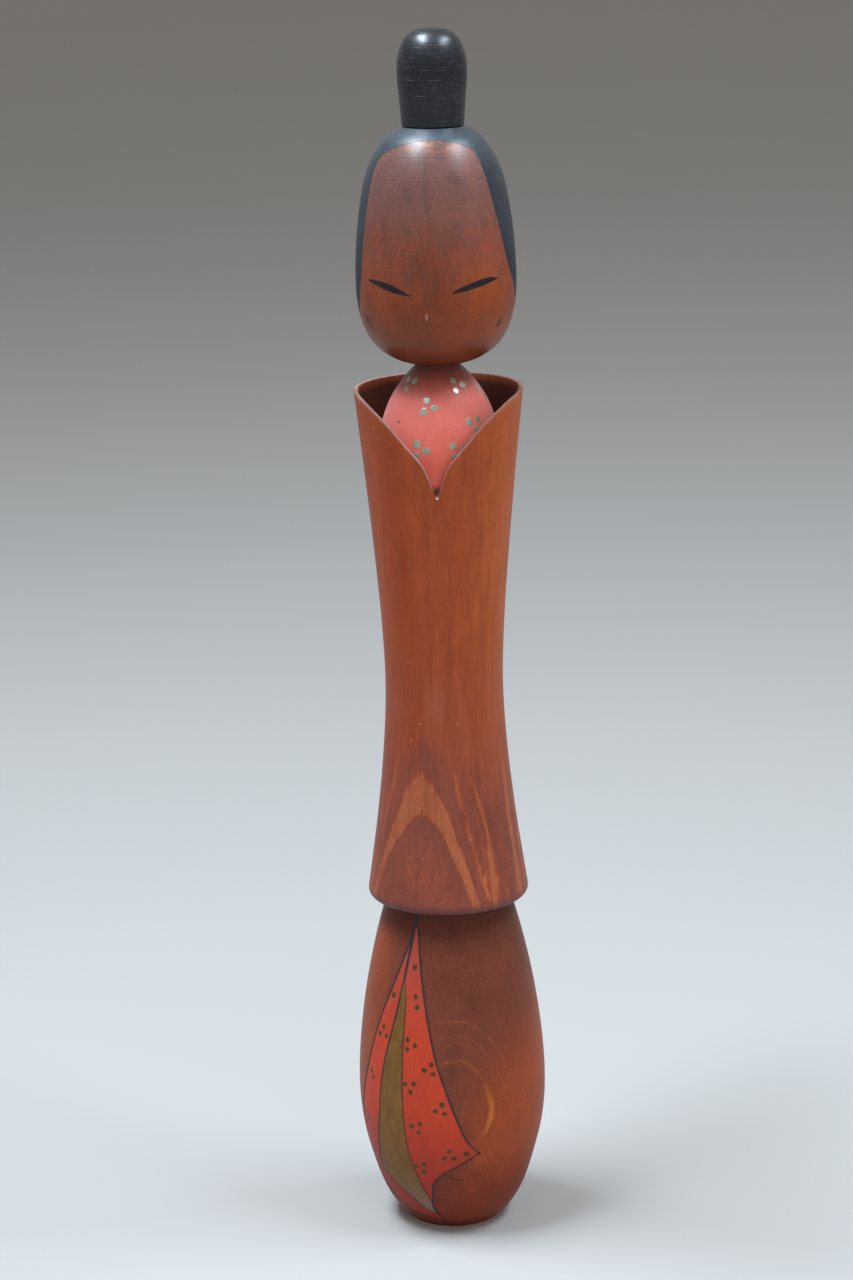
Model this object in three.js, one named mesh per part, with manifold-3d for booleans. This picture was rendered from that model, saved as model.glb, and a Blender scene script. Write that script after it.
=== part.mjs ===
// A tall turned kokeshi doll with its robe open in a V at the collar.
//
// Five turned pieces stand on one axis: the rounded lower body, the waisted robe with a cup bored
// into its top, the painted chest seated in that cup, the head and the topknot. Dowels join them, and
// the head turns on the top one. Millimetres, +Z up, face towards -Y, origin at the centre of the foot.

import * as THREE from "three";
import { mergeVertices } from "three/addons/utils/BufferGeometryUtils.js";
import Module from "manifold-3d";

// ---- Driving dimensions -------------------------------------------------------------------------

const HEIGHT = 420; // floor to the tip of the topknot
const FOOT_RADIUS = 16.6; // flat that the doll stands on
const BODY_RADIUS = 33.1; // widest point of the lower body
const SEAM_HEIGHT = 120.5; // underside of the robe, on top of the lower body
const WAIST_RADIUS = 20.3; // narrowest point of the robe
const RIM_RADIUS = 28.6; // outside of the collar
const RIM_HEIGHT = 300;
const NECK_HEIGHT = 308; // top of the chest, where the head sits
const HEAD_RADIUS = 27;
const CROWN_HEIGHT = 387.8; // top of the head, where the topknot sits

const SEAT_GAP = 0.3; // between the turned end faces of two stacked pieces
const GLUE_GAP = 0.15; // round a glued dowel
const RUNNING_GAP = 0.1; // round the neck peg inside the head

const CUP_FLOOR = 240; // bottom of the cup bored into the robe
const CUP_FLOOR_RADIUS = 18.6;
const CUP_GRIP_HEIGHT = 265; // where the chest leaves the wall of the cup
const CUP_GRIP_RADIUS = 22.8;
const RIM_WALL = 1.6; // thickness of the collar at its rim
const RIM_CHAMFER = 0.5; // broken outer edge of the rim

const V_TIP_HEIGHT = 267.6; // bottom of the V in the collar
const V_HOLE_RADIUS = 0.75; // round end of the V, drilled before it was sawn

const SEGMENTS = 40; // facets round every turned piece
const STEPS = 2; // straight steps between two points of an outline
const CUTTER_MARGIN = 1; // how far a cutter stands past what it cuts

// A dowel fills its two bores but for a little room at each end.
const BORE_END_ROOM = 0.5;
const WAIST_DOWEL = { radius: 6, below: 16, above: 18 };
const CHEST_DOWEL = { radius: 4, below: 12, above: 12 };
const NECK_PEG = { radius: 4, below: 18, above: 16 };
const KNOT_DOWEL = { radius: 3, below: 10, above: 9 };

// ---- Outlines, as points of radius and height -----------------------------------------------------

const BODY_OUTLINE = [
  [FOOT_RADIUS, 0.7],
  [18.6, 2.3],
  [21.2, 5.2],
  [25, 11.8],
  [28.6, 22.5],
  [31.9, 36],
  [BODY_RADIUS, 50],
  [32.3, 67],
  [29.8, 86],
  [26.1, 104],
  [21.8, SEAM_HEIGHT - SEAT_GAP],
];

const ROBE_OUTLINE = [
  [27.9, 123.2],
  [26.2, 134.5],
  [23.7, 152.5],
  [21.4, 174.5],
  [WAIST_RADIUS, 196],
  [21, 217.5],
  [22.9, 242.5],
  [25.4, 269],
  [RIM_RADIUS, RIM_HEIGHT - RIM_CHAMFER],
];
const ROBE_BASE_RADIUS = 25.6; // flat underside, inside its rounded lower edge

const CHEST_DOME = [
  [CUP_GRIP_RADIUS - SEAT_GAP, CUP_GRIP_HEIGHT],
  [22.3, 271],
  [20.8, 283.5],
  [17.1, 295],
  [12.1, 303],
  [7.5, NECK_HEIGHT],
];

const HEAD_OUTLINE = [
  [8.5, NECK_HEIGHT + SEAT_GAP],
  [15.4, 310.8],
  [21.1, 315.2],
  [25, 322.3],
  [26.9, 332.5],
  [26.7, 347],
  [25.1, 361.5],
  [22.3, 373.8],
  [16.8, 383.4],
  [10.5, CROWN_HEIGHT],
];

const KNOT_OUTLINE = [
  [10.4, CROWN_HEIGHT + SEAT_GAP],
  [10.9, 395],
  [11.6, 403.5],
  [11.3, 410.5],
  [9.2, 416],
  [5.4, 419.1],
  [0, HEIGHT],
];

// One side of the V, as distance from its centre line and height, from the drilled tip to the flat
// of the rim.
const V_SIDE = [
  [V_HOLE_RADIUS, V_TIP_HEIGHT + V_HOLE_RADIUS],
  [4.5, 277.9],
  [10.5, 285.1],
  [17, 292.2],
  [23.5, 297.4],
  [26.5, 298.9],
  [RIM_RADIUS - RIM_CHAMFER, RIM_HEIGHT],
];

// ---- Materials -------------------------------------------------------------------------------------

const finish = (color, roughness, metalness = 0) =>
  new THREE.MeshStandardMaterial({ color, roughness, metalness });

const MATERIALS = {
  stainedWood: finish(0x6b2f1c, 0.42),
  robeWood: finish(0x8a4524, 0.4),
  faceWood: finish(0x7c3a20, 0.38),
  coralPaint: finish(0xb8463a, 0.5),
  blackPaint: finish(0x20242a, 0.4),
  bareDowel: finish(0xc9a878, 0.7),
};

// ---- Turning ----------------------------------------------------------------------------------------

// A smooth curve through hand-picked points, as the points of a lathe profile.
function curve(points) {
  const through = points.map(([radius, height]) => new THREE.Vector2(radius, height));
  return new THREE.SplineCurve(through).getPoints(STEPS * (points.length - 1));
}

// The quarter-round or part-round edge about a centre, from one angle to another, in degrees.
function arc(centre, radius, from, to) {
  const [x, y] = centre;
  const path = new THREE.EllipseCurve(
    x, y, radius, radius,
    THREE.MathUtils.degToRad(from), THREE.MathUtils.degToRad(to), to < from,
  );
  return path.getPoints(STEPS);
}

const point = (radius, height) => new THREE.Vector2(radius, height);

// Turns a profile about +Z; it starts and ends on the axis.
function turn(profile) {
  const geometry = new THREE.LatheGeometry(profile, SEGMENTS);
  geometry.rotateX(Math.PI / 2);
  return closed(geometry);
}

// A closed surface whose facets share their vertices.
function closed(geometry) {
  geometry.deleteAttribute("normal");
  geometry.deleteAttribute("uv");
  return mergeVertices(geometry);
}

// A blind bore for a dowel, from its bottom on the axis to its mouth.
const boreUpward = (dowel, depth, mouth, gap) => [
  point(0, mouth - depth - BORE_END_ROOM),
  point(dowel.radius + gap, mouth - depth - BORE_END_ROOM),
  point(dowel.radius + gap, mouth),
];

// The same for a bore whose mouth faces down.
const boreDownward = (dowel, depth, mouth, gap) => [
  point(0, mouth + depth + BORE_END_ROOM),
  point(dowel.radius + gap, mouth + depth + BORE_END_ROOM),
  point(dowel.radius + gap, mouth),
];

// ---- Cutting ------------------------------------------------------------------------------------------

const wasm = await Module();
wasm.setup();

function solidOf(geometry) {
  return new wasm.Manifold(
    new wasm.Mesh({
      numProp: 3,
      vertProperties: new Float32Array(geometry.attributes.position.array),
      triVerts: new Uint32Array(geometry.index.array),
    }),
  );
}

function geometryOf(solid) {
  const { vertProperties, triVerts } = solid.getMesh();
  const geometry = new THREE.BufferGeometry();
  geometry.setAttribute("position", new THREE.BufferAttribute(vertProperties, 3));
  geometry.setIndex(new THREE.BufferAttribute(triVerts, 1));
  return geometry;
}

// ---- Pieces ----------------------------------------------------------------------------------------------

function lowerBody() {
  const top = SEAM_HEIGHT - SEAT_GAP;
  return turn([
    point(0, 0),
    point(FOOT_RADIUS, 0),
    ...curve(BODY_OUTLINE),
    ...boreUpward(WAIST_DOWEL, WAIST_DOWEL.below, top, GLUE_GAP).reverse(),
  ]);
}

// The outside of the robe with its underside, rounded lower edge and rim, and the cup bored in its top.
function robeBlank() {
  const edge = ROBE_OUTLINE[0][0] - ROBE_BASE_RADIUS;
  return turn([
    ...boreDownward(WAIST_DOWEL, WAIST_DOWEL.above, SEAM_HEIGHT, GLUE_GAP),
    ...arc([ROBE_BASE_RADIUS, SEAM_HEIGHT + edge], edge, -90, -15),
    ...curve(ROBE_OUTLINE),
    point(RIM_RADIUS - RIM_CHAMFER, RIM_HEIGHT),
    point(RIM_RADIUS - RIM_WALL, RIM_HEIGHT),
    point(CUP_GRIP_RADIUS, CUP_GRIP_HEIGHT),
    point(CUP_FLOOR_RADIUS, CUP_FLOOR),
    ...boreUpward(CHEST_DOWEL, CHEST_DOWEL.below, CUP_FLOOR, GLUE_GAP).reverse(),
  ]);
}

// The prism that opens the front of the collar: a V with curved sides and a round tip.
function collarCutter() {
  const side = new THREE.SplineCurve(V_SIDE.map(([x, z]) => point(x, z)));
  const right = side.getPoints(STEPS * (V_SIDE.length - 1));
  const left = right.map((p) => point(-p.x, p.y)).reverse();
  const tip = arc([0, V_TIP_HEIGHT + V_HOLE_RADIUS], V_HOLE_RADIUS, -180, 0).slice(1, -1);
  const beyond = RIM_RADIUS + CUTTER_MARGIN;
  const above = RIM_HEIGHT + CUTTER_MARGIN;
  const outline = [...left, ...tip, ...right, point(beyond, above), point(-beyond, above)];
  const prism = new THREE.ExtrudeGeometry(new THREE.Shape(outline), {
    depth: beyond,
    bevelEnabled: false,
    steps: 1,
  });
  prism.rotateX(Math.PI / 2);
  return closed(prism);
}

function robe() {
  return geometryOf(solidOf(robeBlank()).subtract(solidOf(collarCutter())));
}

function chest() {
  const floor = CUP_FLOOR + SEAT_GAP;
  return turn([
    ...boreDownward(CHEST_DOWEL, CHEST_DOWEL.above, floor, GLUE_GAP),
    point(CUP_FLOOR_RADIUS - SEAT_GAP, floor),
    ...curve(CHEST_DOME),
    ...boreUpward(NECK_PEG, NECK_PEG.below, NECK_HEIGHT, GLUE_GAP).reverse(),
  ]);
}

function head() {
  const base = NECK_HEIGHT + SEAT_GAP;
  return turn([
    ...boreDownward(NECK_PEG, NECK_PEG.above, base, RUNNING_GAP),
    ...curve(HEAD_OUTLINE),
    ...boreUpward(KNOT_DOWEL, KNOT_DOWEL.below, CROWN_HEIGHT, GLUE_GAP).reverse(),
  ]);
}

function topknot() {
  const base = CROWN_HEIGHT + SEAT_GAP;
  return turn([...boreDownward(KNOT_DOWEL, KNOT_DOWEL.above, base, GLUE_GAP), ...curve(KNOT_OUTLINE)]);
}

// A plain dowel across a joint, with its ends chamfered so that it starts in its bore.
function dowel({ radius, below, above }, joint) {
  const chamfer = radius / 6;
  const bottom = joint - below;
  const top = joint + above;
  return turn([
    point(0, bottom),
    point(radius - chamfer, bottom),
    point(radius, bottom + chamfer),
    point(radius, top - chamfer),
    point(radius - chamfer, top),
    point(0, top),
  ]);
}

// ---- Assembly ----------------------------------------------------------------------------------------------

function piece(name, geometry, material) {
  const mesh = new THREE.Mesh(geometry, material);
  mesh.name = name;
  return mesh;
}

const figure = new THREE.Group();
figure.add(
  piece("lower_body", lowerBody(), MATERIALS.stainedWood),
  piece("waist_dowel", dowel(WAIST_DOWEL, SEAM_HEIGHT), MATERIALS.bareDowel),
  piece("robe", robe(), MATERIALS.robeWood),
  piece("chest", chest(), MATERIALS.coralPaint),
  piece("chest_dowel", dowel(CHEST_DOWEL, CUP_FLOOR), MATERIALS.bareDowel),
  piece("neck_peg", dowel(NECK_PEG, NECK_HEIGHT), MATERIALS.bareDowel),
);

const turningHead = new THREE.Group();
turningHead.add(
  piece("head", head(), MATERIALS.faceWood),
  piece("topknot", topknot(), MATERIALS.blackPaint),
  piece("topknot_dowel", dowel(KNOT_DOWEL, CROWN_HEIGHT), MATERIALS.bareDowel),
);

const kokeshi = new THREE.Group();
kokeshi.add(figure, turningHead);

export default kokeshi;
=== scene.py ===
"""A tall turned kokeshi doll: its wood, paint and studio, built round the measured solids.

Five turned pieces stand on one axis, which is Z. Sizes here are millimetres until a mesh is made. A place
on a turned piece is given by its angle, in degrees from the front (-Y) towards +X, and its height.
"""

import math

import bpy
import numpy as np
from bpy.props import FloatProperty, FloatVectorProperty, PointerProperty
from mathutils import Matrix, Vector


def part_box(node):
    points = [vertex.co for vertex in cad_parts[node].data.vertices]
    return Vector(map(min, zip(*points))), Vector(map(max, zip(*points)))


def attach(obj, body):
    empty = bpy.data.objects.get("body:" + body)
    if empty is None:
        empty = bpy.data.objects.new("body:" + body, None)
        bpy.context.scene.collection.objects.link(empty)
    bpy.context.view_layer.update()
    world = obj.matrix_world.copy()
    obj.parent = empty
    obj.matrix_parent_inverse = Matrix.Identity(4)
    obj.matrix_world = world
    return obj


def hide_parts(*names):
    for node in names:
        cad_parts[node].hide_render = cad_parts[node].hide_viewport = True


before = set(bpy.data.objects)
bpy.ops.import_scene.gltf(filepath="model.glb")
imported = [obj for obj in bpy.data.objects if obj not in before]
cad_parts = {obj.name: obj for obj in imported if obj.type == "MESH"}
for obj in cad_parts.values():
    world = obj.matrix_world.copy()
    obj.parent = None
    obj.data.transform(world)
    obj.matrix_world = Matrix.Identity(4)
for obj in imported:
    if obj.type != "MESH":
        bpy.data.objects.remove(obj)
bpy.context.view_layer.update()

bl_info = {
    "name": "Turned Kokeshi Doll",
    "version": (1, 0, 0),
    "blender": (4, 5, 0),
    "location": "View3D > Sidebar > Kokeshi",
    "description": "Builds the turned wood and brushed paint of a kokeshi doll round its measured solids",
    "category": "Add Mesh",
}

MM = 0.001


# ---- What the frame says -------------------------------------------------------------------------


def base_of(node):
    """Height of a node's underside, in millimetres."""
    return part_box(node)[0].z / MM


def top_of(node):
    """Height of a node's top, in millimetres."""
    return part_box(node)[1].z / MM


def radius_of(node):
    """Largest radius of a turned node, in millimetres."""
    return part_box(node)[1].x / MM


BODY_TOP = top_of("lower_body")
ROBE_BASE = base_of("robe")
RIM_HEIGHT = top_of("robe")
RIM_RADIUS = radius_of("robe")
CHEST_FLOOR = base_of("chest")
NECK_HEIGHT = top_of("chest")
HEAD_BASE = base_of("head")
CROWN_HEIGHT = top_of("head")
KNOT_BASE = base_of("topknot")
KNOT_TOP = top_of("topknot")

# ---- Outlines, as points of radius and height ----------------------------------------------------

BODY_OUTLINE = [
    (16.6, 0.7), (18.6, 2.3), (21.2, 5.2), (25, 11.8), (28.6, 22.5), (31.9, 36),
    (33.1, 50), (32.3, 67), (29.8, 86), (26.1, 104), (21.8, BODY_TOP),
]
FOOT_EDGE = [(0, 0), (15.6, 0), (16.3, 0.2)]
ROBE_EDGE_RADIUS = 2.3
ROBE_EDGE_CENTRE = (25.6, ROBE_BASE + ROBE_EDGE_RADIUS)
ROBE_OUTLINE = [
    (27.9, 123.2), (26.2, 134.5), (23.7, 152.5), (21.4, 174.5), (20.3, 196),
    (21, 217.5), (22.9, 242.5), (25.4, 269), (RIM_RADIUS, RIM_HEIGHT - 0.5),
]
COLLAR_SHOULDER = 262.0  # rows of the robe are level up to here, and follow the V above it
RIM_WALL = 1.6
OUTER_LIP_BARE = 0.45  # how bare the eased corners of the sawn edge look, from 0 to 1
INNER_LIP_BARE = 0.35
CUP_GRIP = (22.8, 265)
CUP_FLOOR = (18.6, 240)
V_HOLE_RADIUS = 0.75
V_HOLE_HEIGHT = 268.35
V_SIDE = [
    (V_HOLE_RADIUS, V_HOLE_HEIGHT), (4.5, 277.9), (10.5, 285.1), (17, 292.2),
    (23.5, 297.4), (26.5, 298.9), (28.1, RIM_HEIGHT),
]
CHEST_OUTLINE = [
    (22.5, 265), (22.3, 271), (20.8, 283.5), (17.1, 295), (12.1, 303), (7.5, NECK_HEIGHT),
]
CHEST_FLOOR_RADIUS = 18.3
HEAD_OUTLINE = [
    (8.5, HEAD_BASE), (15.4, 310.8), (21.1, 315.2), (25, 322.3), (26.9, 332.5),
    (26.7, 347), (25.1, 361.5), (22.3, 373.8), (16.8, 383.4), (10.5, CROWN_HEIGHT),
]
KNOT_OUTLINE = [
    (10.4, KNOT_BASE), (10.9, 395), (11.6, 403.5), (11.3, 410.5), (9.2, 416), (5.4, 419.1),
    (0, KNOT_TOP),
]
FIT_TOLERANCE = 0.2
BORE_END_ROOM = 0.5
GLUE_GAP = 0.15
RUNNING_GAP = 0.1
SHARP_ANGLE = 40  # degrees between faces from which an edge shows as sharp

# ---- Painted shapes, as points of angle and height -----------------------------------------------

HEM_TURN = 2.5  # degrees that the whole hem is turned to the right
PANEL_FRONT = [
    (-30, 118), (-25.5, 111), (-20, 96), (-14, 80), (-10, 70), (-5.5, 61.5), (1, 50.5), (8, 40),
    (16.5, 34),
]
HEM_BACK = [
    (16.5, 34), (3.6, 29.3), (-6, 26.2), (-14, 21.7), (-16, 16.5), (-17.4, 10.9), (-13.8, 6.6),
    (-7, 2),
]
PANEL_REAR = [
    (-31, 118), (-31.5, 112), (-36.7, 104), (-43, 94.5), (-51, 83.5), (-58, 72), (-65.5, 58),
    (-73.5, 45), (-80, 28), (-76, 17),
]
PANEL_FOOT = [(-76, 17), (-58, 12), (-45, 7.5), (-27, 5.5), (-15.7, 4.2), (-8, 2)]
BAND_REAR = [
    (-35, 96), (-37.2, 88), (-41.3, 77.5), (-46, 66.5), (-49, 56), (-51.2, 45), (-58, 30), (-63, 22),
]
BAND_FOOT = [(-63, 22), (-49, 18.7), (-35, 13.7), (-20.8, 8.3), (-17.4, 7.8)]
BAND_FRONT = [
    (-34.4, 96), (-31.8, 90.8), (-31.7, 81), (-31.9, 68.6), (-31.4, 50), (-30.4, 37.7),
    (-28, 27.5), (-23.2, 19), (-17.5, 12.4), (-17, 7.8),
]
HEM_FOLD = [(-6, 25.5), (1, 23.6), (7.4, 23.1)]
APEX_LINE = [(-29.6, BODY_TOP), (-30, 114), (-32.6, 104), (-34.8, 95)]
ROBE_LINE = [(-29.6, BODY_TOP), (-30, 118)]

# Three dots round a centre: angle, height, and the direction of the first dot.
HEM_TREFOILS = [
    (-49, 76, 90), (-27, 74, 0), (-13.5, 66, 70), (-26.5, 59, 40), (-7, 51.5, 75),
    (-22.5, 44, 50), (-2.5, 33.5, 90), (-22, 28, 55),
]
HEM_DOTS = [
    (-26.7, 101), (-24.3, 91), (-22.8, 87.4), (-42.4, 90), (-59.2, 60.2), (-57, 58.2),
    (-68.6, 43.6), (-66.4, 40.8), (-75.6, 25.9), (-77, 22.4), (8.7, 34.2),
]
CHEST_TREFOILS = [
    (-9.3, 296.3, -10), (34.5, 302.5, 0), (42.5, 290, 40), (-15.6, 282.3, 0), (19.6, 282, 10),
    (-50, 303, 30), (84, 299, 15), (-95, 296, 60), (128, 301, -20),
    (172, 297, 45), (-140, 302, 5),
]

LEFT_EYE = [(-54, 339.2), (-40, 338.3), (-27, 336.7), (-14.6, 334.9)]
RIGHT_EYE = [(13.7, 335.8), (26, 337.4), (41, 338.9), (53, 339.3)]
NOSE = [(-4.1, 329.3), (-4.1, 328), (-4, 326.6)]
NOSE_SHADE = [(-2.5, 328.6), (-2.6, 327.2), (-3.6, 326.2)]
SIDE_LOCKS = [
    [(-64, 328.5), (-60.5, 323.6)],
    [(-61.5, 327.6), (-58, 322.4)],
    [(-56.4, 327.4), (-55.4, 321.8)],
    [(61, 326), (57, 322)],
    [(58, 325.5), (54.5, 322.2)],
]
HAIRLINE_LEFT = [
    (-84, 324), (-72, 329.5), (-65.5, 337), (-63, 346), (-61.2, 358), (-60.6, 371.7), (-60, 377.4),
    (-54.5, 380.6), (-47, 382.2), (-38, 383.4), (-20, 384.3), (0, 384.6),
]
HAIRLINE_RIGHT = [
    (90, 326.5), (79.5, 333.5), (66.7, 342.6), (60.9, 351), (56.4, 359.2), (52.7, 367.5), (50.5, 374.6),
    (49.2, 378.6), (46.5, 381.3), (39, 383), (20, 384.3), (0, 384.6),
]
NAPE = [(-84, 324), (-120, 321.5), (-180, 320), (-240, 321.5), (-270, 326.5)]

MM_PER_DEGREE = 0.45  # along the surface, at the sides of the head
NOSE_WIDTH = 1.1
NOSE_SHADE_WIDTH = 0.5
LOCK_WIDTH = 0.95
CHIP_PLACE = (0.6, 266.9)
CHIP_WIDTH = 0.9

# Dark spots on the chest: angle, height, reach in degrees and reach in millimetres.
CHEST_BLOTS = [(-43.5, 290.7, 2.6, 0.9), (0, V_HOLE_HEIGHT + 0.6, 6, 2.4)]

# ---- How paint lies on the wood, in millimetres --------------------------------------------------

BAND_COATS = 1.6  # coats under the band's top, because it is painted over the panel
PAINT_SLOPE = 0.16  # width of the slope at the edge of a coat
BORDER_DIP = 0.02  # how far the border of a coat dips under the wood
FILM_DEPTH = 0.15  # how far under the wood the underside of a coat lies
HAIR_FILM_DEPTH = 0.2  # the same, for the hair

# Rise and depth of a stroke and a dot, from the level that they are laid at.
STROKE_RISE = 0.05
STROKE_DEPTH = 0.15
STROKE_WAVER = 0.07  # as a share of the width
WAVER_RATE = 0.45  # radians for each millimetre of the stroke
DOT_RISE = 0.055
DOT_BRIM = 0.03  # how far the rim of a dot lies under that level
DOT_DEPTH = 0.12

# ---- Figure of the wood --------------------------------------------------------------------------

# How far behind the axis the pith lies, in millimetres.
BODY_PITH_DEPTH = 20.0
ROBE_PITH_DEPTH = 28.0

# Bands of a value: centre, reach and strength. Rings are in millimetres from the pith, and streaks in
# degrees round the robe.
BODY_RINGS = [(50.1, 0.13, 0.6), (50.9, 0.1, 0.4), (51.3, 0.08, 0.35), (52.0, 0.14, 0.7)]
BRIGHT_RING = [(51.98, 0.26, 1.0)]
LEANING_STREAKS = [(38, 3.2, 0.6), (31, 1.6, 0.25), (45, 5, -0.3)]
UPRIGHT_STREAKS = [(68, 5, 0.8), (82, 2.5, 0.3), (60, 5, -0.25)]

# Tone of the robe's rings from RING_START outwards: share of RING_SPAN, and 0 for dark to 1 for light.
RING_START = 44
RING_SPAN = 14
ROBE_RINGS = [
    (0.0, 0.5), (0.2, 0.5), (0.25, 0.58), (0.29, 0.42), (0.31, 0.55), (0.325, 0.8), (0.35, 0.66),
    (0.365, 0.16), (0.39, 0.3), (0.425, 0.04), (0.443, 0.14), (0.455, 0.9), (0.49, 1.0), (0.52, 0.84),
    (0.532, 0.0), (0.57, 0.12), (0.64, 0.3), (0.67, 0.5), (0.7, 0.3), (0.74, 0.1), (0.84, 0.28),
    (1.0, 0.12),
]

# ---- Studio, in metres ---------------------------------------------------------------------------

FLOOR_REACH = 12.0
LAMP_AIM = (0, -0.12, 0.3)
WINDOW_SIZE = (0.3, 0.7)
SENSOR_WIDTH = 36  # millimetres


# ---- Settings ------------------------------------------------------------------------------------


def length(name, description, millimetres):
    """A length setting, kept by Blender in metres."""
    return FloatProperty(
        name=name, description=description, default=millimetres * MM, min=0, subtype="DISTANCE",
        unit="LENGTH", precision=5,
    )


def colour(name, description, red, green, blue):
    """A linear colour setting."""
    return FloatVectorProperty(
        name=name, description=description, default=(red, green, blue), min=0, max=1, size=3,
        subtype="COLOR",
    )


def angle_setting(name, description, degrees):
    """An angle setting, kept by Blender in radians."""
    return FloatProperty(
        name=name, description=description, default=math.radians(degrees), subtype="ANGLE",
        unit="ROTATION",
    )


def power(name, description, watts):
    """A lamp's power setting, in watts."""
    return FloatProperty(name=name, description=description, default=watts, unit="POWER")


class KokeshiSizes(bpy.types.PropertyGroup):
    """Sizes of the edges and of the brushwork."""

    rim_round: length("Rim rounding", "How far the sawn edges of the collar are eased", 0.35)
    paint_bed: length("Paint bed", "How far the wood lies under the outline, to leave room for paint", 0.16)
    paint_coat: length("Paint coat", "Thickness of one coat of paint", 0.05)
    ink_width: length("Ink line", "Width of the drawn lines of the hem", 0.68)
    hem_dot: length("Hem dot", "Diameter of a dot on the hem", 2.0)
    chest_dot: length("Chest dot", "Diameter of a dot on the chest", 2.8)
    trefoil: length("Trefoil", "Distance of the three dots of a group from its middle", 1.95)
    eye_width: length("Eye", "Width of an eye at its middle", 2.35)


class KokeshiColours(bpy.types.PropertyGroup):
    """Colours of the stains and paints, some with painted light and shade in them."""

    body_dark: colour("Body stain", "Dark stain of the lower body", 0.152, 0.038, 0.021)
    body_warm: colour("Body heartwood", "Orange wood low on the right", 0.330, 0.058, 0.012)
    # Partly a redder stain towards the foot, partly painted warm light bounced up from below.
    body_foot_stain_and_bounce: colour("Body foot", "Dark red stain near the foot", 0.150, 0.015, 0.003)
    # Painted shadow: the robe's shadow on the top of the lower body.
    body_robe_shadow: colour("Body top", "Near-black stain close under the robe", 0.060, 0.016, 0.011)
    body_ring: colour("Body rings", "Bright growth rings of the lower body", 0.500, 0.140, 0.030)
    body_pit: colour("Body pits", "Pale pits in the lower body", 0.360, 0.170, 0.100)
    robe_dark: colour("Robe late wood", "Dark figure of the robe", 0.165, 0.044, 0.030)
    robe_mid: colour("Robe stain", "Stain over most of the robe", 0.315, 0.058, 0.015)
    robe_dull: colour("Robe low wood", "Duller wood low on the robe", 0.205, 0.052, 0.034)
    robe_light: colour("Robe early wood", "Light figure of the robe", 0.335, 0.093, 0.039)
    robe_red: colour("Robe red streak", "Redder streak on the robe", 0.252, 0.032, 0.005)
    # Partly paler wood, partly painted light on the right side.
    robe_pale_wood_and_light: colour("Robe pale side", "Paler wood on the right of the robe", 0.385, 0.087, 0.019)
    robe_dent: colour("Robe dents", "Pale dents in the robe", 0.500, 0.260, 0.170)
    robe_hem: colour("Robe lower edge", "Darkened wood round the lower edge", 0.105, 0.040, 0.034)
    face_stain: colour("Face stain", "Stain of the head", 0.205, 0.043, 0.014)
    forehead: colour("Forehead", "Greyer stain of the forehead", 0.150, 0.066, 0.055)
    face_warm: colour("Face glow", "Orange wood of the cheeks", 0.290, 0.055, 0.012)
    # Partly greyer stain, partly a painted sheen of the overhead lamps.
    face_ruddy: colour("Face flush", "Redder clouds over the brow", 0.260, 0.050, 0.026)
    face_smoke: colour("Face smoke", "Dark clouds on the head", 0.085, 0.042, 0.038)
    # Darker towards the chin.
    chin: colour("Chin", "Dark stain under the head", 0.085, 0.018, 0.009)
    # Partly rubbed wood, partly a painted highlight along the top of the forehead.
    brow_wear_and_highlight: colour("Worn brow", "Rubbed wood at the top of the forehead", 0.400, 0.150, 0.070)
    face_pit: colour("Face pits", "Pale pits in the head", 0.380, 0.200, 0.150)
    cut_edge: colour("Sawn edge", "Bare wood on the edge of the collar", 0.300, 0.215, 0.195)
    # Painted shade in the narrow drilled tip of the V.
    cut_tip_shade: colour("Drilled tip", "Dark wood in the drilled tip of the V", 0.040, 0.024, 0.020)
    chip: colour("Chip", "Bare chip under the tip of the V", 0.550, 0.500, 0.460)
    cup_dark: colour("Cup", "Inside of the collar", 0.085, 0.040, 0.028)
    # Partly the paint, partly a painted sheen: paler and pinker than the deeper coral low down.
    coral: colour("Chest paint", "Coral paint of the chest", 0.590, 0.130, 0.102)
    coral_low: colour("Chest paint, low", "Deeper coral towards the V", 0.530, 0.088, 0.055)
    # Painted shadow of the head on the top of the chest.
    coral_head_shadow: colour("Chest paint, high", "Sooty coral under the head", 0.160, 0.032, 0.022)
    red: colour("Hem paint", "Red paint of the hem", 0.480, 0.044, 0.016)
    # Painted shade: the red darkens towards the foot.
    red_foot_shade: colour("Hem paint, low", "Darker red towards the foot", 0.262, 0.020, 0.007)
    # Partly duller paint, partly painted shade under the robe's overhang.
    red_dull_and_shaded: colour("Hem paint, high", "Duller red towards the top", 0.340, 0.050, 0.030)
    olive: colour("Band paint", "Olive band across the hem", 0.172, 0.076, 0.013)
    olive_low: colour("Band paint, low", "Greyer band towards the foot", 0.165, 0.105, 0.085)
    ink: colour("Eye ink", "Ink of the eyes", 0.014, 0.010, 0.013)
    lock_ink: colour("Lock ink", "Thin ink of the side locks", 0.045, 0.022, 0.020)
    hem_ink: colour("Hem ink", "Ink of the lines of the hem", 0.034, 0.023, 0.027)
    dot_dark: colour("Hem dots", "Dots on the hem", 0.070, 0.045, 0.014)
    dot_pale: colour("Chest dots", "Metallic dots on the chest", 0.360, 0.390, 0.310)
    nose: colour("Nose", "Pink of the nose", 0.300, 0.110, 0.085)
    hair: colour("Hair", "Paint of the hair", 0.016, 0.024, 0.034)
    # Painted shade: the hair darkens towards the nape.
    hair_nape_shade: colour("Hair, low", "Darker hair towards the nape", 0.008, 0.012, 0.018)
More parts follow.
